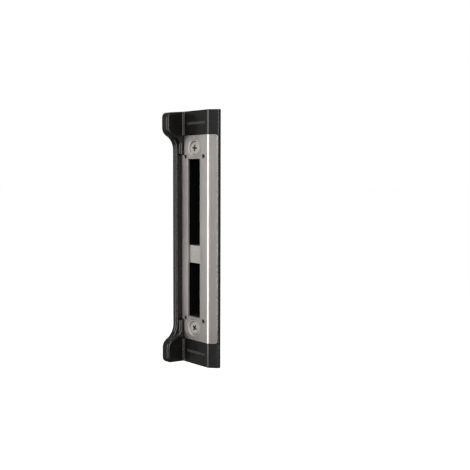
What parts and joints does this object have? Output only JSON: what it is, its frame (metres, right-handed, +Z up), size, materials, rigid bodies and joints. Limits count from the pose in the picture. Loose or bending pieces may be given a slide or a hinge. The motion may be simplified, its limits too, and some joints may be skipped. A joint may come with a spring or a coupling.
{
  "type": "gate lock keep",
  "caption": "Surface keep for a gate lock: bent stainless strike plate with a latch window and a bolt window, in a black moulded housing with a gate stop, clamped to a square post.",
  "frame": {"origin": "centre of the flat back that lies on the post, half way along the keep and half way across it", "axes": "+Z up along the post, front towards -Y away from the post, +X towards the bevelled edge that the latch rides over, -X towards the gate stop"},
  "size_m": [0.052, 0.0567, 0.255],
  "materials": {
    "moulding": "satin black glass-filled polyamide, faint moulded grain",
    "black_trim": "dull black polypropylene",
    "brushed_stainless": "stainless sheet, brushed along its length",
    "cross_brushed_stainless": "stainless, brushed across",
    "turned_stainless": "turned stainless",
    "screw_steel": "plain stainless screw",
    "zinc_steel": "bright zinc-plated steel"
  },
  "bodies": {
    "keep_body": {"stop_housing": "moulding", "dust_box": "black_trim", "strike_plate": "brushed_stainless", "bolt_divider": "cross_brushed_stainless", "upper_screw_seat": "turned_stainless", "lower_screw_seat": "turned_stainless", "upper_anchor_sleeve": "zinc_steel", "lower_anchor_sleeve": "zinc_steel", "upper_left_plate_pin": "black_trim", "upper_right_plate_pin": "black_trim", "lower_left_plate_pin": "black_trim", "lower_right_plate_pin": "black_trim"},
    "upper_screw": {"upper_clamp_screw": "screw_steel"},
    "lower_screw": {"lower_clamp_screw": "screw_steel"},
    "upper_nut": {"upper_cone_nut": "zinc_steel"},
    "lower_nut": {"lower_cone_nut": "zinc_steel"}
  },
  "joints": [
    {"name": "upper_screw_turn", "type": "hinge", "parent": "keep_body", "child": "upper_screw", "pos_m": [-0.0016, 0, 0.0904], "axis": [0, -1, 0], "range_deg": [0, 1080]},
    {"name": "lower_screw_turn", "type": "hinge", "parent": "keep_body", "child": "lower_screw", "pos_m": [-0.0016, 0, -0.0904], "axis": [0, -1, 0], "range_deg": [0, 1080]},
    {"name": "upper_nut_draw", "type": "slide", "parent": "keep_body", "child": "upper_nut", "axis": [0, 1, 0], "range_m": [0, 0.003]},
    {"name": "lower_nut_draw", "type": "slide", "parent": "keep_body", "child": "lower_nut", "axis": [0, 1, 0], "range_m": [0, 0.003]}
  ],
  "couplings": [
    {"joint": "upper_screw_turn", "follows": "upper_nut_draw", "rad_per_m": 6283.2},
    {"joint": "lower_screw_turn", "follows": "lower_nut_draw", "rad_per_m": 6283.2}
  ]
}
